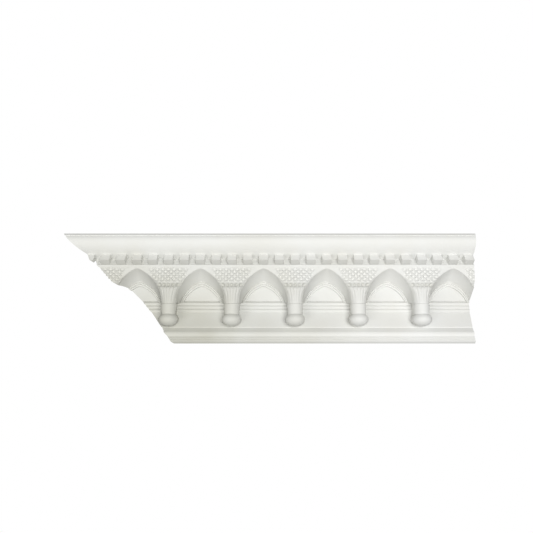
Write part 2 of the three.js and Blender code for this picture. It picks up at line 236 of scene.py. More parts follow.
class CorniceStage(bpy.types.PropertyGroup):
    """Camera, lights and floor."""

    picture_side: whole_number("Picture side", "Width and height of the picture in pixels", 533)
    pixel: size_mm("Pixel", "Size of a pixel at the face", 1.26)
    distance: size_mm("Camera distance", "From the camera to the face", 700)
    middle_right: plain_number("Middle right", "Pixels right from the picture's middle to the length's", 3)
    middle_down: plain_number("Middle down", "Pixels down from the picture's middle to the face's", 22)
    key_place: place_m("Key place", "Main light, right, up and out from the face", (0.27, 0.15, 1.5))
    key_side: size_m("Key side", "Side of the main light's square", 0.7)
    key_watts: watts("Key light", "Power of the main light", 18.2)
    key_colour: colour("Key colour", "Colour of the main light", (1.0, 1.0, 1.0))
    fill_place: place_m("Fill place", "Soft light, right, up and out from the face", (-0.6, -0.4, 1.1))
    fill_side: size_m("Fill side", "Side of the soft light's square", 0.8)
    fill_watts: watts("Fill light", "Power of the soft light from the lower left", 6)
    fill_colour: colour("Fill colour", "Colour of the soft light", (1.0, 1.0, 0.98))
    ambient: plain_number("Ambient", "Strength of the light from all round", 0.155)
    ambient_colour: colour("Ambient colour", "Colour of the light from all round", (1.0, 1.0, 0.985))
    back_place: place_m("Back place", "Back light, right, behind and over the face", (0.6, 0.9, 0.4))
    back_strength: plain_number("Back light", "Strength of the light on the back and the square end", 2.2)
    back_angle: bpy.props.FloatProperty(
        name="Back angle", description="Width of the back light as an angle", default=math.radians(20),
        subtype="ANGLE",
    )
    floor_colour: colour("Floor", "Colour of the floor", (0.85, 0.85, 0.84))
    floor_level: size_m("Floor level", "Height of the floor", -2.6)
    floor_reach: size_m("Floor reach", "From the floor's middle to each of its sides", 1.6)


def settings():
    return bpy.context.scene.cornice


class CorniceSettings(bpy.types.PropertyGroup):
    """All the sizes, colours and lights of the cornice."""

    section: bpy.props.PointerProperty(type=CorniceSection, name="Section", description="Plain mouldings")
    arcade: bpy.props.PointerProperty(type=CorniceArcade, name="Arcade", description="Arches and fans")
    carving: bpy.props.PointerProperty(type=CorniceCarving, name="Carving", description="Low carving")
    finish: bpy.props.PointerProperty(type=CorniceFinish, name="Finish", description="Plaster")
    stage: bpy.props.PointerProperty(type=CorniceStage, name="Stage", description="Camera and light")


# Small helpers for numbers

def smooth_step(low, high, value):
    share = min(1.0, max(0.0, (value - low) / (high - low)))
    return share * share * (3 - 2 * share)


def mix(low, high, share):
    return low + (high - low) * share


def bowed_point(chord, bow, share):
    """A point on the arc over a chord: how far along the chord it is, and how far from it."""
    half = chord / 2
    radius = (half * half + bow * bow) / (2 * bow)
    angle = math.asin(half / radius) * (2 * share - 1)
    return half + radius * math.sin(angle), radius * math.cos(angle) - (radius - bow)


class Section:
    """Outline of the plain mouldings, as points out from the wall and up from the foot."""

    def __init__(self):
        self.points = [(0.0, 0.0)]

    def line(self, out, up):
        from_out, from_up = self.points[-1]
        self.points.append((from_out + out, from_up + up))

    def arc(self, out, up, bow, steps):
        from_out, from_up = self.points[-1]
        chord = math.hypot(out, up)
        for step in range(1, steps + 1):
            along, across = bowed_point(chord, bow, step / steps)
            self.points.append((
                from_out + (out * along + up * across) / chord,
                from_up + (up * along - out * across) / chord,
            ))


class Layout:
    """The section's outline, with the places that the arcade, dentils and ends are set out from."""

    def __init__(self, plain, arcade):
        self.plain = plain
        self.arcade = arcade
        outline = Section()
        self.draw_foot(outline)
        self.sill_out, self.sill_up = outline.points[-1]
        self.draw_face(outline)
        self.draw_crown(outline)
        self.projection, self.drop = outline.points[-1]
        outline.line(-plain.ceiling_depth, 0)
        outline.points.append((0.0, plain.wall_height))
        self.outline = outline.points
        self.place_ends()

    def draw_foot(self, outline):
        plain = self.plain
        bands = plain.foot_grooves + 1
        band_height = (plain.foot_height - plain.foot_grooves * plain.groove_width) / bands
        outline.line(plain.foot_depth, 0)
        for band in range(bands):
            outline.line(plain.foot_lean / bands, band_height)
            if band < bands - 1:
                outline.line(-plain.groove_depth, 0)
                outline.line(0, plain.groove_width)
                outline.line(plain.groove_depth, 0)
        outline.arc(plain.ovolo_out, plain.ovolo_up, plain.ovolo_bow, 8)
        outline.line(-plain.neck_sink, plain.neck_sink / 2)
        outline.line(0, plain.neck_height)
        outline.line(plain.brow_out, plain.brow_up)
        outline.line(plain.frieze_lean, plain.frieze_height)
        for _ in range(plain.reeds):
            outline.arc(plain.reed_out, plain.reed_up, plain.reed_bow, 10)

    def draw_face(self, outline):
        plain, arcade = self.plain, self.arcade
        crest = arcade.climb - plain.crest_width
        top_relief = arcade.depth + plain.crest_relief
        outline.points.append(self.on_face(plain.sill_quirk / 2, -plain.sill_quirk))
        outline.points.append(self.on_face(plain.sill_quirk, 0))
        outline.points.append(self.on_face(crest, 0))
        outline.points.append(self.on_face(crest, top_relief))
        outline.points.append(self.on_face(arcade.climb, top_relief))
        outline.line(0, plain.ledge_height)
        outline.line(-plain.ledge_depth, 0)
        self.fascia_out, self.fascia_up = outline.points[-1]
        self.dentil_foot = self.fascia_up + plain.dentil_lift - plain.wall_height / 2

    def draw_crown(self, outline):
        plain = self.plain
        outline.line(0, plain.dentil_lift + plain.dentil_height)
        outline.line(plain.soffit_depth, 0)
        foot_out, foot_up = outline.points[-1]
        steps = 20
        for step in range(1, steps + 1):
            angle = (step / steps) * (math.pi / 2)
            outline.points.append((
                foot_out + plain.crown_out * math.sin(angle),
                foot_up + plain.crown_up * (1 - math.cos(angle)),
            ))
        outline.line(plain.fillet_out, 0)
        outline.line(0, plain.fillet_height)

    def on_face(self, climb, relief):
        """Out and up of a place on the sloping face, from the sill."""
        return self.sill_out + (climb + relief) * SLOPE, self.sill_up + (climb - relief) * SLOPE

    def point(self, along, climb, relief):
        out, up = self.on_face(climb, relief)
        return Vector((along, -out, up - self.plain.wall_height / 2))

    def place_ends(self):
        arcade = self.arcade
        self.top_climb = (self.projection + self.drop) * SLOPE
        self.top_relief = (self.projection - self.drop) * SLOPE
        wall_climb = self.plain.wall_height / 2 * SLOPE
        wall_length = (arcade.top_length - (self.top_climb - wall_climb) * arcade.end_slope
                       - (self.top_relief + wall_climb) * arcade.end_bevel)
        self.square_end = wall_length / 2

    def slanting_end(self, out, up):
        climb = (out + up) * SLOPE
        relief = (out - up) * SLOPE
        return (self.square_end - self.arcade.top_length
                + (self.top_climb - climb) * self.arcade.end_slope
                + (self.top_relief - relief) * self.arcade.end_bevel)

    def repeats(self, start, pitch):
        """First middle and number of copies of what repeats, past both ends."""
        first = start + pitch
        count = math.ceil((first - (self.square_end - self.arcade.top_length - pitch)) / pitch)
        return first - (count - 1) * pitch, count


# Meshes from rings, and how they are joined and cut

def object_from(name, vertices, faces):
    mesh = bpy.data.meshes.new(name)
    mesh.from_pydata([tuple(vertex) for vertex in vertices], [], faces)
    mesh.validate()
    made = bpy.data.objects.new(name, mesh)
    bpy.context.scene.collection.objects.link(made)
    return made


def ring_faces(rings, count):
    faces = []
    for ring in range(rings - 1):
        for at in range(count):
            here = ring * count + at
            after = ring * count + (at + 1) % count
            faces.append((here, after, after + count, here + count))
    return faces


def object_from_rings(name, rings):
    """A closed solid through a stack of rings, with a flat cap on its first and last."""
    count = len(rings[0])
    faces = ring_faces(len(rings), count)
    faces.append(tuple(reversed(range(count))))
    faces.append(tuple(range((len(rings) - 1) * count, len(rings) * count)))
    return object_from(name, [point for ring in rings for point in ring], faces)


def object_from_strips(name, rings, front_count):
    """As above, for rings that go out along a front and home along a back, capped by ladders."""
    count = 2 * front_count
    faces = ring_faces(len(rings), count)
    last = (len(rings) - 1) * count
    for at in range(front_count - 1):
        back = count - 1 - at
        faces.append((at, back, back - 1, at + 1))
        faces.append((last + at, last + at + 1, last + back - 1, last + back))
    return object_from(name, [point for ring in rings for point in ring], faces)


def take_result(made):
    """Turns an object's live modifiers into a plain mesh on the same object."""
    graph = bpy.context.evaluated_depsgraph_get()
    result = bpy.data.meshes.new_from_object(made.evaluated_get(graph))
    made.modifiers.clear()
    old = made.data
    made.data = result
    bpy.data.meshes.remove(old)


def combine(body, tool, operation):
    """Joins, cuts or trims body by tool, and removes the tool."""
    cut = body.modifiers.new("combine", "BOOLEAN")
    cut.operation = operation
    cut.solver = "MANIFOLD"
    cut.object = tool
    bpy.context.view_layer.update()
    take_result(body)
    tool_mesh = tool.data
    bpy.data.objects.remove(tool)
    bpy.data.meshes.remove(tool_mesh)


def repeat_tree(material):
    """Geometry Nodes that repeat a mesh along X: inputs are the count and the pitch."""
    tree = bpy.data.node_groups.new("Repeat along the cornice", "GeometryNodeTree")
    tree.interface.new_socket("Geometry", in_out="INPUT", socket_type="NodeSocketGeometry")
    tree.interface.new_socket("Count", in_out="INPUT", socket_type="NodeSocketInt")
    tree.interface.new_socket("Pitch", in_out="INPUT", socket_type="NodeSocketVector")
    tree.interface.new_socket("Geometry", in_out="OUTPUT", socket_type="NodeSocketGeometry")
    nodes, links = tree.nodes, tree.links
    entry = nodes.new("NodeGroupInput")
    line = nodes.new("GeometryNodeMeshLine")
    line.mode = "OFFSET"
    copies = nodes.new("GeometryNodeInstanceOnPoints")
    real = nodes.new("GeometryNodeRealizeInstances")
    finish = nodes.new("GeometryNodeSetMaterial")
    finish.inputs["Material"].default_value = material
    leave = nodes.new("NodeGroupOutput")
    links.new(entry.outputs["Count"], line.inputs["Count"])
    links.new(entry.outputs["Pitch"], line.inputs["Offset"])
    links.new(line.outputs["Mesh"], copies.inputs["Points"])
    links.new(entry.outputs["Geometry"], copies.inputs["Instance"])
    links.new(copies.outputs["Instances"], real.inputs["Geometry"])
    links.new(real.outputs["Geometry"], finish.inputs["Geometry"])
    links.new(finish.outputs["Geometry"], leave.inputs["Geometry"])
    return tree


def repeat_along(made, tree, count, pitch):
    """Repeats a mesh that stands at its first place."""
    modifier = made.modifiers.new("repeat", "NODES")
    modifier.node_group = tree
    keys = {item.name: item.identifier for item in tree.interface.items_tree if item.in_out == "INPUT"}
    modifier[keys["Count"]] = count
    modifier[keys["Pitch"]] = (pitch, 0.0, 0.0)
    made.update_tag()
    bpy.context.view_layer.update()
    take_result(made)
    return made


# The parts of the casting

def plain_run(layout):
    """The plain mouldings, run past both ends."""
    runs = layout.arcade.bay_pitch
    ends = (layout.square_end - layout.arcade.top_length - runs, layout.square_end + runs)
    lift = layout.plain.wall_height / 2
    rings = [[Vector((end, -out, up - lift)) for out, up in layout.outline] for end in ends]
    return object_from_rings("plain run", rings)


def arch_arc(span, rise, bow):
    """Radius and centre of the arc from (span, 0) to (0, rise) that makes half of a pointed arch."""
    chord = math.hypot(span, rise)
    radius = (chord * chord / 4 + bow * bow) / (2 * bow)
    return radius, span / 2 - rise / chord * (radius - bow), rise / 2 - span / chord * (radius - bow)


def arch_climb(across, span, rise, bow):
    """Height of a pointed arch at a distance from its axis."""
    radius, centre_across, centre_climb = arch_arc(span, rise, bow)
    return centre_climb + math.sqrt(max(0.0, radius * radius - (across - centre_across) ** 2))


def arch_half(span, rise, bow, softness, steps):
    """Points from the foot of an arch to its softly rounded point."""
    chord = math.hypot(span, rise)
    soft_reach = 4 * softness
    lift = (rise - arch_climb(softness, span, rise, bow)) / 2
    points = []
    for step in range(steps + 1):
        along, off = bowed_point(chord, bow, step / steps)
        across = max(0.0, span + (-span * along + rise * off) / chord)
        climb = (rise * along + span * off) / chord
        if across < soft_reach:
            soft = arch_climb(math.hypot(across, softness), span, rise, bow)
            climb = mix(climb, soft + lift, 1 - across / soft_reach)
        points.append((across, climb))
    return points


def arch_ring(layout, centre, relief, span, rise, bow):
    steps = 30
    half = arch_half(span, rise, bow, layout.arcade.apex_softness, steps)
    left = [(-across, climb) for across, climb in reversed(half[:-1])]
    outline = [(span, -OVERLAP)] + half + left + [(-span, -OVERLAP)]
    return [layout.point(centre + across, climb, relief) for across, climb in outline]


def arch_hollow(layout, centre):
    """The hollow of one arch, ring by ring from deep behind the window out to its mouth."""
    arcade = layout.arcade
    window = (arcade.window_span, arcade.window_rise, arcade.window_bow)
    rim = (arcade.rim_span, arcade.rim_rise, arcade.rim_bow)
    front = (arcade.front_span, arcade.front_rise, arcade.front_bow)

    def between(low, high, share):
        return [mix(one, other, share) for one, other in zip(low, high)]

    rings = [arch_ring(layout, centre, -OVERLAP, *window)]
    # Two beads, of which the inner one is a little lower and starts near the window, fill nearly all the rim
    beads, bead_steps, bead_fullness = 2, 6, 0.6
    inner_height, inner_foot, rim_filled = 0.86, 0.2, 0.98
    for bead in range(beads):
        for step in range(1 if bead else 0, bead_steps + 1):
            share = (bead + step / bead_steps) / beads
            height = math.sin(math.pi * step / bead_steps) ** bead_fullness
            foot = arcade.rim_bed * (1 if bead or step else inner_foot)
            relief = mix(foot, arcade.rim_relief * (1 if bead else inner_height), height)
            rings.append(arch_ring(layout, centre, relief, *between(window, rim, share * rim_filled)))
    splay_foot = arcade.rim_bed + 0.4 * MM
    splay_hollow = 1.2 * MM
    rings.append(arch_ring(layout, centre, splay_foot, *rim))
    splay_steps = 8
    for step in range(1, splay_steps + 1):
        share = step / splay_steps
        sunk = splay_hollow * math.sin(math.pi * share)
        span, rise, bow = between(rim, front, share)
        relief = mix(splay_foot, arcade.edge_relief, share)
        rings.append(arch_ring(layout, centre, relief, span, rise + sunk, bow))
    rings.append(arch_ring(layout, centre, arcade.edge_relief + arcade.bulge + OVERLAP, *front))
    return object_from_rings("arch hollow", rings)


def front_half_width(arcade, climb):
    """Half the width of the front arch at a height above the sill."""
    if climb >= arcade.front_rise:
        return 0.0
    radius, centre_across, centre_climb = arch_arc(arcade.front_span, arcade.front_rise, arcade.front_bow)
    return centre_across + math.sqrt(radius * radius - (climb - centre_climb) ** 2)


def flute_carving(carving, share, across, climb, half_width):
    """Depth of the flats, the narrow grooves between them, and the hollow band with a pit at each head."""
    past_edge, inside_edge = 1.04, 0.96
    off_band = (climb - carving.head_climb) / (carving.band_height / 2)
    band = carving.band_depth * math.exp(-off_band * off_band)
    band *= smooth_step(past_edge, inside_edge, abs(share))
    reach = share / carving.flute_share
    if abs(reach) >= 1:
        return -band
    flat_width = 2 * carving.flute_share * half_width / carving.flutes
    place = (reach + 1) / 2 * carving.flutes
    from_edge = abs(place - round(place)) * flat_width
    head_round = 1.5 * MM
    under_head = smooth_step(carving.head_climb, carving.head_climb - head_round, climb)
    # The flats and grooves are shallow at the sill and deepen up to their heads
    shallow_at = -0.3
    strength = under_head * smooth_step(shallow_at, 1.0, climb / carving.head_climb)
    hollow_share = 0.4
    hollow = carving.flute_depth * smooth_step(0.0, hollow_share * flat_width, from_edge)
    groove = carving.groove_depth * math.exp(-(2 * from_edge / carving.groove_width) ** 2)
    middle = ((math.floor(place) + 0.5) / carving.flutes * 2 - 1) * carving.flute_share * half_width
    off_pit = math.hypot(across - middle, climb - carving.head_climb) / carving.pit_radius
    return -band - strength * (hollow + groove) - carving.pit_depth * math.exp(-off_pit * off_pit)


def rib(place):
    """Height of a rib that runs where place is a whole number."""
    foot, top = 0.27, 0.06
    return smooth_step(foot, top, abs(place - round(place)))


def net_half_width(carving, climb):
    """Half the net's width at a height, which grows from its foot to its top."""
    share = (climb - carving.net_foot) / (carving.net_top - carving.net_foot)
    return mix(carving.net_half_foot, carving.net_half_top, min(1.0, max(0.0, share)))


def net_carving(carving, across, climb):
    """The net of crossing ribs over the flutes, which fades out towards the arches."""
    half = net_half_width(carving, climb)
    inside = smooth_step(half, half - carving.net_fade, abs(across))
    foot_fade = 1.2 * MM
    net_full = carving.net_foot + foot_fade / 3
    inside *= smooth_step(net_full - foot_fade, net_full, climb)
    inside *= smooth_step(carving.net_top, carving.net_top - carving.net_fade / 2, climb)
    if inside <= 0:
        return 0.0
    right = across / carving.net_across + (climb - carving.net_foot) / carving.net_up
    left = across / carving.net_across - (climb - carving.net_foot) / carving.net_up
    sunk_share = 0.55
    return inside * carving.net_depth * (max(rib(right), rib(left)) - sunk_share)


def fan_relief(arcade, share, climb, crest):
    """Relief of a fan before its carving, at a share of its half width and a height under its crest."""
    rise = min(1.0, max(0.0, climb / crest))
    edge = mix(arcade.edge_relief, arcade.depth, rise)
    roundness = 0.5 + 0.5 * rise
    return edge + arcade.bulge * (1 - rise ** 1.5) * max(0.0, 1 - share * share) ** roundness


def fan_slab(layout, carving):
    """The slab that carries every fan, as one carved surface over a flat back."""
    arcade = layout.arcade
    half_bay = arcade.bay_pitch / 2
    first, count = layout.repeats(layout.square_end - arcade.end_to_apex - half_bay, arcade.bay_pitch)
    crest = arcade.climb - layout.plain.crest_width
    half_columns, inner_columns, rows = 42, 33, 68
    top = arcade.climb - layout.plain.crest_width / 2
    # The slab runs a little past the arches that cut it, but never as far as the next fan
    beyond = 1.06
    next_fan = half_bay - 0.3 * MM
    rings = []
    for row in range(rows + 1):
        climb = mix(-arcade.fan_lip, top, row / rows)
        half_width = half_bay - front_half_width(arcade, climb)
        inner = min(carving.flute_share * half_width, net_half_width(carving, climb))
        outer = min(beyond * half_width, next_fan)
        front = []
        for fan in range(count):
            for column in range(-half_columns, half_columns + 1):
                step = abs(column)
                if step <= inner_columns:
                    across = inner * step / inner_columns
                else:
                    across = mix(inner, outer, (step - inner_columns) / (half_columns - inner_columns))
                across = math.copysign(across, column)
                share = across / half_width
                relief = fan_relief(arcade, share, climb, crest)
                relief += flute_carving(carving, share, across, climb, half_width)
                relief += net_carving(carving, across, climb)
                front.append(layout.point(first + fan * arcade.bay_pitch + across, climb, relief))
        back = [layout.point(point.x, climb, -2 * OVERLAP) for point in reversed(front)]
        rings.append(front + back)
    return object_from_strips("fan slab", rings, count * (2 * half_columns + 1))


def lathe(profile, sides):
    """A solid turned about Y, as points and faces, from (radius, height) points that start on the axis."""
    vertices = [Vector((0, profile[0][1], 0))]
    for radius, height in profile[1:-1]:
        for side in range(sides):
            angle = 2 * math.pi * side / sides
            vertices.append(Vector((radius * math.sin(angle), height, radius * math.cos(angle))))
    vertices.append(Vector((0, profile[-1][1], 0)))
    faces = []
    rings = len(profile) - 2
    last = len(vertices) - 1
    for side in range(sides):
        after = (side + 1) % sides
        faces.append((0, 1 + after, 1 + side))
        faces.append((last, last - sides + side, last - sides + after))
        for ring in range(rings - 1):
            low = 1 + ring * sides
            faces.append((low + side, low + after, low + sides + after, low + sides + side))
    return vertices, faces


def fan_drop(layout, centre):
    """A round drop on its stem, which leans out from the fan's foot."""
    arcade = layout.arcade
    shoulder = math.acos(min(1.0, arcade.neck_radius / arcade.drop_width))
    steps = 18
    profile = [(0.0, -arcade.drop_height)]
    for step in range(1, steps + 1):
        angle = -math.pi / 2 + step / steps * (math.pi / 2 + shoulder)
        profile.append((arcade.drop_width * math.cos(angle), arcade.drop_height * math.sin(angle)))
    groove = arcade.stem_groove
    groove_top = arcade.drop_below - arcade.fan_lip
    profile.append((arcade.neck_radius - groove / 2, profile[-1][1] + groove))
    profile.append((arcade.neck_radius, profile[-1][1] + groove))
    profile.append((arcade.stem_radius, groove_top - 3 * groove))
    profile.append((arcade.stem_radius - groove, groove_top - 2 * groove))
    profile.append((arcade.stem_radius - groove, arcade.drop_below))
    profile.append((arcade.stem_radius - OVERLAP, arcade.drop_below + OVERLAP))
    profile.append((0.0, arcade.drop_below + OVERLAP))
    sides = 48
    vertices, faces = lathe(profile, sides)
    lean = Matrix.Rotation(math.atan2(arcade.stem_relief - arcade.drop_relief, arcade.drop_below), 3, "X")
    turned = [lean @ vertex for vertex in vertices]
    placed = [
        layout.point(centre + vertex.x, vertex.y - arcade.drop_below, vertex.z + arcade.drop_relief)
        for vertex in turned
    ]
    return object_from("fan drop", placed, faces)


def drop_web(layout, centre):
    """The web behind a drop and its stem, straight back into the frieze."""
    arcade = layout.arcade
    half_stem = arcade.neck_radius - arcade.web_inset
    half_width = arcade.drop_width - arcade.web_inset
    half_height = arcade.drop_height - arcade.web_inset
    start = math.acos(min(1.0, half_stem / half_width))
    outline = [(half_stem, OVERLAP / 4), (-half_stem, OVERLAP / 4)]
    steps = 30
    for step in range(steps + 1):
        angle = math.pi - start + step / steps * (math.pi + 2 * start)
        outline.append((half_width * math.cos(angle), half_height * math.sin(angle) - arcade.drop_below))
    rings = [
        [layout.point(centre + across, climb, relief) for across, climb in outline]
        for relief in (arcade.web_start, arcade.drop_relief)
    ]
    return object_from_rings("drop web", rings)


def dentil(layout, centre):
    plain = layout.plain
    base = layout.dentil_foot
    top = base + plain.dentil_height + OVERLAP / 2
    front, behind = -layout.fascia_out - plain.dentil_depth, -layout.fascia_out + OVERLAP
    left, right = centre - plain.dentil_width / 2, centre + plain.dentil_width / 2
    rings = [
        [Vector((along, front, base)), Vector((along, behind, base)), Vector((along, behind, top)),
         Vector((along, front, top))]
        for along in (left, right)
    ]
    made = object_from_rings("dentil", rings)
    rounding = made.modifiers.new("rounding", "BEVEL")
    rounding.width = plain.dentil_round
    rounding.segments = 2
    bpy.context.view_layer.update()
    take_result(made)
    return made


def length_kept(layout):
    """What is kept of the run: between the slanting end and the square end."""
    reach = layout.projection + layout.drop
    lift = layout.plain.wall_height / 2
    corners = [(-reach, -reach), (reach * 2, -reach), (reach * 2, reach * 2), (-reach, reach * 2)]
    slanting = [Vector((layout.slanting_end(out, up), -out, up - lift)) for out, up in corners]
    square = [Vector((layout.square_end, -out, up - lift)) for out, up in corners]
    return object_from_rings("length kept", [slanting, square])


def point_faces_out(made):
    """Turns a closed solid's faces so that they all point outwards."""
    work = bmesh.new()
    work.from_mesh(made.data)
    bmesh.ops.recalc_face_normals(work, faces=work.faces)
    work.to_mesh(made.data)
    work.free()


def drop_stays(layout, centre):
    """Whether a drop's middle lies between the ends, or at most half a stem's radius past one."""
    arcade = layout.arcade
    spare = arcade.stem_radius / 2
    left = layout.slanting_end(*layout.on_face(-arcade.drop_below, arcade.drop_relief))
    return left - spare < centre < layout.square_end + spare


def cast_cornice(layout, carving, fine, raw):
    """Builds the whole casting and returns its object."""
    arcade = layout.arcade
    tree = repeat_tree(fine)
    apex = layout.square_end - arcade.end_to_apex
    body = plain_run(layout)
    slab = fan_slab(layout, carving)
    first, count = layout.repeats(apex, arcade.bay_pitch)
    hollows = repeat_along(arch_hollow(layout, first), tree, count, arcade.bay_pitch)
    first_fan, fans = layout.repeats(apex - arcade.bay_pitch / 2, arcade.bay_pitch)
    kept = [first_fan + fan * arcade.bay_pitch for fan in range(fans)]
    kept = [centre for centre in kept if drop_stays(layout, centre)]
    drops = repeat_along(fan_drop(layout, kept[0]), tree, len(kept), arcade.bay_pitch)
    webs = repeat_along(drop_web(layout, kept[0]), tree, len(kept), arcade.bay_pitch)
    pitch = arcade.bay_pitch / arcade.dentils_per_bay
    first_dentil, dentils = layout.repeats(apex, pitch)
    teeth = repeat_along(dentil(layout, first_dentil), tree, dentils, pitch)
    ends = length_kept(layout)
    for part in (body, slab, hollows, drops, webs, teeth, ends):
        point_faces_out(part)
    combine(slab, hollows, "DIFFERENCE")
    combine(body, slab, "UNION")
    for part in (drops, webs, teeth):
        combine(body, part, "UNION")
    combine(body, ends, "INTERSECT")
    finish_surface(body, layout, fine, raw)
    return body


def finish_surface(body, layout, fine, raw):
    """Gives the face its fine finish and the ends and back the raw one, and sets smooth and sharp edges."""
    mesh = body.data
    mesh.materials.clear()
    mesh.materials.append(fine)
    mesh.materials.append(raw)
    lift = layout.plain.wall_height / 2
    near = 0.02 * MM
    corner_out = layout.projection - layout.plain.ceiling_depth
    corner_up = layout.plain.wall_height
    run, rise = corner_out, layout.drop - corner_up
    for face in mesh.polygons:
        middle = face.center
        out, up = -middle.y, middle.z + lift
        on_back = ((up - corner_up) * run - out * rise) / math.hypot(run, rise) > -near
        on_ends = middle.x > layout.square_end - near or middle.x < layout.slanting_end(out, up) + near
        on_wall = out < near or up > layout.drop - near
        face.material_index = 1 if on_back or on_ends or on_wall else 0
    mesh.shade_smooth()
    sharp_from = math.radians(34)
    mesh.set_sharp_from_angle(angle=sharp_from)


# Materials

# Places of the sockets on a Mix node that mixes colours
MIX_FACTOR, MIX_ONE, MIX_OTHER, MIX_RESULT = 0, 6, 7, 2


def add_socket(tree, name, in_out, kind, default=None):
    socket = tree.interface.new_socket(name, in_out=in_out, socket_type=kind)
    if default is not None:
        socket.default_value = default
    return socket


def feed(tree, socket, source):
    """Links a socket, or sets it where the source is a plain value."""
    if isinstance(source, bpy.types.NodeSocket):
        tree.links.new(source, socket)
    else:
        socket.default_value = source


def calculated(tree, operation, one, other, clamp=False):
    made = tree.nodes.new("ShaderNodeMath")
    made.operation = operation
    made.use_clamp = clamp
    feed(tree, made.inputs[0], one)
    feed(tree, made.inputs[1], other)
    return made.outputs["Value"]


def ranged(tree, source, low, high, to_low=0.0, to_high=1.0, kind="LINEAR"):
    """Brings what lies between low and high to a new range, and holds it at the ends."""
    made = tree.nodes.new("ShaderNodeMapRange")
    made.interpolation_type = kind
    made.inputs["From Min"].default_value = low
    made.inputs["From Max"].default_value = high
    made.inputs["To Min"].default_value = to_low
    made.inputs["To Max"].default_value = to_high
    tree.links.new(source, made.inputs["Value"])
    return made.outputs["Result"]


def mixed(tree, factor, one, other, blend="MIX"):
    made = tree.nodes.new("ShaderNodeMix")
    made.data_type = "RGBA"
    made.blend_type = blend
    feed(tree, made.inputs[MIX_FACTOR], factor)
    feed(tree, made.inputs[MIX_ONE], one)
    feed(tree, made.inputs[MIX_OTHER], other)
    return made.outputs[MIX_RESULT]


def noise(tree, place, scale, detail, roughness):
    made = tree.nodes.new("ShaderNodeTexNoise")
    made.inputs["Detail"].default_value = detail
    made.inputs["Roughness"].default_value = roughness
    feed(tree, made.inputs["Scale"], scale)
    tree.links.new(place, made.inputs["Vector"])
    return made.outputs["Fac"]


def plaster_surface_group():
    """Colour, roughness and height of plaster: soft clouds, fine grain and scattered pin holes."""
    tree = bpy.data.node_groups.new("Plaster surface", "ShaderNodeTree")
    add_socket(tree, "Colour", "INPUT", "NodeSocketColor")
    add_socket(tree, "Tint", "INPUT", "NodeSocketColor")
    add_socket(tree, "Cloud scale", "INPUT", "NodeSocketFloat", 16.0)
    add_socket(tree, "Grain scale", "INPUT", "NodeSocketFloat", 1100.0)
    add_socket(tree, "Roughness", "INPUT", "NodeSocketFloat", 0.7)
    add_socket(tree, "Colour", "OUTPUT", "NodeSocketColor")
    add_socket(tree, "Roughness", "OUTPUT", "NodeSocketFloat")
    add_socket(tree, "Height", "OUTPUT", "NodeSocketFloat")
    entry = tree.nodes.new("NodeGroupInput").outputs
    leave = tree.nodes.new("NodeGroupOutput").inputs
    place = tree.nodes.new("ShaderNodeTexCoord").outputs["Object"]

    clouds = ranged(tree, noise(tree, place, entry["Cloud scale"], 4.0, 0.55), 0.38, 0.68)
    grain = noise(tree, place, entry["Grain scale"], 3.0, 0.6)

    # Pin holes lie in the cells of a coarser grain, and only in a few patches
    holes = tree.nodes.new("ShaderNodeTexVoronoi")
    holes.inputs["Randomness"].default_value = 1.0
    tree.links.new(place, holes.inputs["Vector"])
    tree.links.new(calculated(tree, "MULTIPLY", entry["Grain scale"], 0.22), holes.inputs["Scale"])
    pin_holes = ranged(tree, holes.outputs["Distance"], 0.0, 0.13, 1.0, 0.0)
    patch_scale = calculated(tree, "MULTIPLY", entry["Cloud scale"], 6.0)
    patches = ranged(tree, noise(tree, place, patch_scale, 2.0, 0.5), 0.6, 0.66)
    pits = calculated(tree, "MULTIPLY", pin_holes, patches)

    clouded = mixed(tree, clouds, entry["Colour"], entry["Tint"])
    pit_dust = calculated(tree, "MULTIPLY", pits, 0.5)
    tree.links.new(mixed(tree, pit_dust, clouded, entry["Tint"]), leave["Colour"])
    uneven = ranged(tree, grain, 0.3, 0.7, -0.07, 0.07)
    tree.links.new(calculated(tree, "ADD", entry["Roughness"], uneven), leave["Roughness"])
    tree.links.new(calculated(tree, "SUBTRACT", grain, pits), leave["Height"])
    return tree


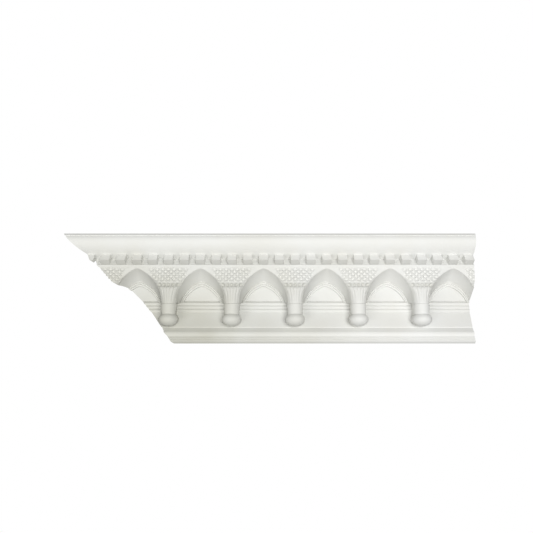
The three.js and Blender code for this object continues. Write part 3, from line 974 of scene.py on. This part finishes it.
def stain_and_shade_group(finish, carving, layout):
    """Stain that grows towards the slanting end and the foot, and painted shade in what is sunk and under
    the dentils.
    """
    tree = bpy.data.node_groups.new("Plaster stain and shade", "ShaderNodeTree")
    add_socket(tree, "Colour", "INPUT", "NodeSocketColor")
    add_socket(tree, "Stain", "INPUT", "NodeSocketColor")
    add_socket(tree, "Dust", "INPUT", "NodeSocketFloat", 1.0)
    add_socket(tree, "Colour", "OUTPUT", "NodeSocketColor")
    entry = tree.nodes.new("NodeGroupInput").outputs
    leave = tree.nodes.new("NodeGroupOutput").inputs
    place = tree.nodes.new("ShaderNodeTexCoord").outputs["Object"]
    axes = tree.nodes.new("ShaderNodeSeparateXYZ")
    tree.links.new(place, axes.inputs["Vector"])

    # The stain sets in early on the way down, and its edge is broken up by clouds
    along_length = ranged(tree, axes.outputs["X"], finish.stain_from, finish.stain_to)
    down_face = ranged(tree, axes.outputs["Z"], finish.stain_top, finish.stain_foot)
    both = calculated(tree, "MULTIPLY", along_length, calculated(tree, "POWER", down_face, 0.75))
    broken = ranged(tree, noise(tree, place, 1 / finish.cloud, 3.0, 0.5), 0.3, 0.7, 0.8, 1.15)
    amount = calculated(tree, "MULTIPLY", both, broken, clamp=True)
    stained = mixed(tree, amount, entry["Colour"], entry["Stain"], "MULTIPLY")

    sill = layout.point(0, 0, 0)
    soft = 0.5 * MM

    def along(direction):
        """Distance along a direction, with its value at the sill."""
        made = tree.nodes.new("ShaderNodeVectorMath")
        made.operation = "DOT_PRODUCT"
        made.inputs[1].default_value = direction
        tree.links.new(place, made.inputs[0])
        return made.outputs["Value"], direction.dot(sill)

    def mask(distance, start_at, full_at):
        """Grows from 0 to 1 between two distances from the sill."""
        source, at_sill = distance
        return ranged(tree, source, at_sill + start_at, at_sill + full_at, kind="SMOOTHSTEP")

    # Darkens the colour where all the masks meet: painted shade
    def dulled(colour_in, shade, *masks):
        strength = entry["Dust"]
        for one in masks:
            strength = calculated(tree, "MULTIPLY", strength, one)
        return mixed(tree, strength, colour_in, (*shade, 1.0), "MULTIPLY")

    relief = along(Vector((0, -SLOPE, -SLOPE)))
    climb = along(Vector((0, -SLOPE, SLOPE)))
    height = along(Vector((0, 0, 1)))
    arcade = layout.arcade

    # Painted shade over the whole field between the foot and the dentils
    over_foot = mask(climb, -soft - finish.field_foot, soft - finish.field_foot)
    under_crest = mask(climb, soft + arcade.climb, arcade.climb)
    shaded = dulled(stained, finish.field_painted_shade, over_foot, under_crest)

    # Painted shade in the windows
    over_sill = mask(climb, -soft, soft)
    under_rim = mask(relief, arcade.rim_bed, arcade.rim_bed - soft)
    shaded = dulled(shaded, finish.window_painted_shade, over_sill, under_rim)

    # Painted shade in the splays of the arches, from their rims out to the fans
    over_rim = mask(relief, arcade.rim_relief - soft, arcade.rim_relief + soft)
    under_fans = mask(relief, finish.hollow_relief + soft, finish.hollow_relief - soft)
    shaded = dulled(shaded, finish.hollow_painted_shade, over_sill, over_rim, under_fans)

    # Painted shade in the row of pits, which fades out over half its height above and below
    half_row = carving.band_height / 2
    on_fans = mask(relief, finish.row_relief - finish.row_fade, finish.row_relief)
    over_flats = mask(climb, carving.head_climb - 1.5 * half_row, carving.head_climb - half_row / 2)
    under_net = mask(climb, carving.head_climb + 1.5 * half_row, carving.head_climb + half_row / 2)
    shaded = dulled(shaded, finish.row_painted_shade, on_fans, over_flats, under_net)

    # Painted shade on the undersides of the dentils
    dentil_foot = layout.dentil_foot - sill.z
    over_ledge = mask(height, dentil_foot - soft, dentil_foot - soft / 2)
    under_dentils = mask(height, dentil_foot + soft, dentil_foot + soft / 2)
    shaded = dulled(shaded, finish.underside_painted_shade, over_ledge, under_dentils)
    tree.links.new(shaded, leave["Colour"])
    return tree


def plaster_material(name, surface_group, stain, finish, body, tint, roughness, bump, grain_share, shading):
    """Plaster of one colour and tint, with the shared surface and stain, and painted shade at its own
    strength.
    """
    material = bpy.data.materials.new(name)
    material.use_nodes = True
    nodes, links = material.node_tree.nodes, material.node_tree.links
    shader = nodes["Principled BSDF"]
    shader.inputs["Specular IOR Level"].default_value = 0.3
    surface = nodes.new("ShaderNodeGroup")
    surface.node_tree = surface_group
    surface.inputs["Colour"].default_value = (*body, 1.0)
    surface.inputs["Tint"].default_value = (*tint, 1.0)
    surface.inputs["Cloud scale"].default_value = 1 / finish.cloud
    surface.inputs["Grain scale"].default_value = grain_share / finish.grain
    surface.inputs["Roughness"].default_value = roughness
    stain_and_shade_node = nodes.new("ShaderNodeGroup")
    stain_and_shade_node.node_tree = stain
    stain_and_shade_node.inputs["Stain"].default_value = (*finish.stain, 1.0)
    # Strength of the painted shade in the sunk parts and under the dentils
    stain_and_shade_node.inputs["Dust"].default_value = shading
    raised = nodes.new("ShaderNodeBump")
    raised.inputs["Strength"].default_value = bump
    raised.inputs["Distance"].default_value = finish.grain_height
    links.new(surface.outputs["Colour"], stain_and_shade_node.inputs["Colour"])
    links.new(stain_and_shade_node.outputs["Colour"], shader.inputs["Base Color"])
    links.new(surface.outputs["Roughness"], shader.inputs["Roughness"])
    links.new(surface.outputs["Height"], raised.inputs["Height"])
    links.new(raised.outputs["Normal"], shader.inputs["Normal"])
    return material


# Operators, panel and registration

class CORNICE_OT_cast(bpy.types.Operator):
    """Cast the cornice length in plaster, with its arches, fans, drops and dentils"""

    bl_idname = "cornice.cast"
    bl_label = "Cast Cornice"

    def execute(self, context):
        sizes = settings()
        finish = sizes.finish
        layout = Layout(sizes.section, sizes.arcade)
        groups = plaster_surface_group(), stain_and_shade_group(finish, sizes.carving, layout)
        # The fine face carries the painted shade; the raw ends and back carry none
        fine = plaster_material(
            "Fine white plaster", *groups, finish, finish.white, finish.cream,
            roughness=0.62, bump=0.25, grain_share=1.0, shading=1.0,
        )
        raw = plaster_material(
            "Raw plaster", *groups, finish, finish.raw, finish.raw_stain,
            roughness=0.82, bump=0.7, grain_share=0.6, shading=0.0,
        )
        body = cast_cornice(layout, sizes.carving, fine, raw)
        body.name = "cornice_casting"
        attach(body, "root")
        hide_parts(CORNICE_NODE)
        return {"FINISHED"}


def place_light(name, lamp, place, target):
    """Stands a lamp at its place, aimed at its target."""
    made = bpy.data.objects.new(name, lamp)
    made.location = place
    made.rotation_euler = (target - made.location).to_track_quat("-Z", "Y").to_euler()
    bpy.context.scene.collection.objects.link(made)


def soft_light(name, place, target, side, power, tint):
    lamp = bpy.data.lights.new(name, "AREA")
    lamp.shape = "SQUARE"
    lamp.size = side
    lamp.energy = power
    lamp.color = tint
    place_light(name, lamp, place, target)


class CORNICE_OT_stage(bpy.types.Operator):
    """Set the floor, the soft lights, the white surround and the camera below the sloping face"""

    bl_idname = "cornice.stage"
    bl_label = "Set Stage"

    def execute(self, context):
        stage = settings().stage
        low, high = CAD_LOW, CAD_HIGH
        middle = (low + high) / 2
        up_face = Vector((0, -SLOPE, SLOPE))
        out_face = Vector((0, -SLOPE, -SLOPE))
        face_middle = Vector((middle.x, low.y / 2, (low.z + high.z) / 2))
        self.add_camera(stage, face_middle, up_face, out_face)
        self.add_lights(stage, face_middle, up_face, out_face)
        self.add_surround(stage)
        self.add_floor(stage, middle)
        context.scene.view_settings.view_transform = "Standard"
        return {"FINISHED"}

    def add_camera(self, stage, face_middle, up_face, out_face):
        lens = bpy.data.cameras.new("camera")
        lens.sensor_width = 36.0
        lens.lens = stage.distance / stage.pixel / stage.picture_side * lens.sensor_width
        lens.clip_start = 0.01
        camera = bpy.data.objects.new("camera", lens)
        lens.shift_y = stage.middle_down / stage.picture_side
        right = Vector((1, 0, 0))
        place = face_middle - right * stage.middle_right * stage.pixel + out_face * stage.distance
        turn = Matrix((right, up_face, out_face)).transposed().to_4x4()
        camera.matrix_world = Matrix.Translation(place) @ turn
        bpy.context.scene.collection.objects.link(camera)
        bpy.context.scene.camera = camera

    def add_lights(self, stage, face_middle, up_face, out_face):
        def from_face(offset):
            return face_middle + Vector((offset[0], 0, 0)) + up_face * offset[1] + out_face * offset[2]

        key, fill = from_face(stage.key_place), from_face(stage.fill_place)
        soft_light("key light", key, face_middle, stage.key_side, stage.key_watts, stage.key_colour)
        soft_light("soft fill", fill, face_middle, stage.fill_side, stage.fill_watts, stage.fill_colour)
        sun = bpy.data.lights.new("back light", "SUN")
        sun.energy = stage.back_strength
        sun.angle = stage.back_angle
        place_light("back light", sun, face_middle + Vector(stage.back_place), face_middle)

    def add_surround(self, stage):
        world = bpy.data.worlds.new("white surround")
        world.use_nodes = True
        nodes, links = world.node_tree.nodes, world.node_tree.links
        seen = nodes["Background"]
        seen.inputs["Color"].default_value = (1.0, 1.0, 1.0, 1.0)
        seen.inputs["Strength"].default_value = 1.0
        lighting = nodes.new("ShaderNodeBackground")
        lighting.inputs["Color"].default_value = (*stage.ambient_colour, 1.0)
        lighting.inputs["Strength"].default_value = stage.ambient
        rays = nodes.new("ShaderNodeLightPath")
        choose = nodes.new("ShaderNodeMixShader")
        links.new(rays.outputs["Is Camera Ray"], choose.inputs[0])
        links.new(lighting.outputs[0], choose.inputs[1])
        links.new(seen.outputs[0], choose.inputs[2])
        links.new(choose.outputs[0], nodes["World Output"].inputs["Surface"])
        bpy.context.scene.world = world

    def add_floor(self, stage, middle):
        reach = stage.floor_reach
        corners = [
            (middle.x - reach, middle.y - reach, stage.floor_level),
            (middle.x + reach, middle.y - reach, stage.floor_level),
            (middle.x + reach, middle.y + reach, stage.floor_level),
            (middle.x - reach, middle.y + reach, stage.floor_level),
        ]
        floor = object_from("floor", corners, [(0, 1, 2, 3)])
        paint = bpy.data.materials.new("Pale floor")
        paint.use_nodes = True
        shader = paint.node_tree.nodes["Principled BSDF"]
        shader.inputs["Base Color"].default_value = (*stage.floor_colour, 1.0)
        shader.inputs["Roughness"].default_value = 0.9
        floor.data.materials.append(paint)


class CORNICE_PT_panel(bpy.types.Panel):
    """Lists the cornice's sizes and its two steps"""

    bl_label = "Gothic Cornice"
    bl_space_type = "VIEW_3D"
    bl_region_type = "UI"
    bl_category = "Cornice"

    def draw(self, context):
        sizes = context.scene.cornice
        for part in (sizes.section, sizes.arcade, sizes.carving, sizes.finish, sizes.stage):
            box = self.layout.box()
            for key in part.__annotations__:
                box.prop(part, key)
        self.layout.operator(CORNICE_OT_cast.bl_idname)
        self.layout.operator(CORNICE_OT_stage.bl_idname)


CLASSES = (
    CorniceSection, CorniceArcade, CorniceCarving, CorniceFinish, CorniceStage, CorniceSettings,
    CORNICE_OT_cast, CORNICE_OT_stage, CORNICE_PT_panel,
)


def register():
    for item in CLASSES:
        bpy.utils.register_class(item)
    bpy.types.Scene.cornice = bpy.props.PointerProperty(
        type=CorniceSettings, name="Cornice", description="Sizes, colours and lights of the cornice"
    )


def unregister():
    del bpy.types.Scene.cornice
    for item in reversed(CLASSES):
        bpy.utils.unregister_class(item)


def main():
    register()
    bpy.ops.cornice.cast()
    bpy.ops.cornice.stage()


if __name__ == "__main__":
    main()
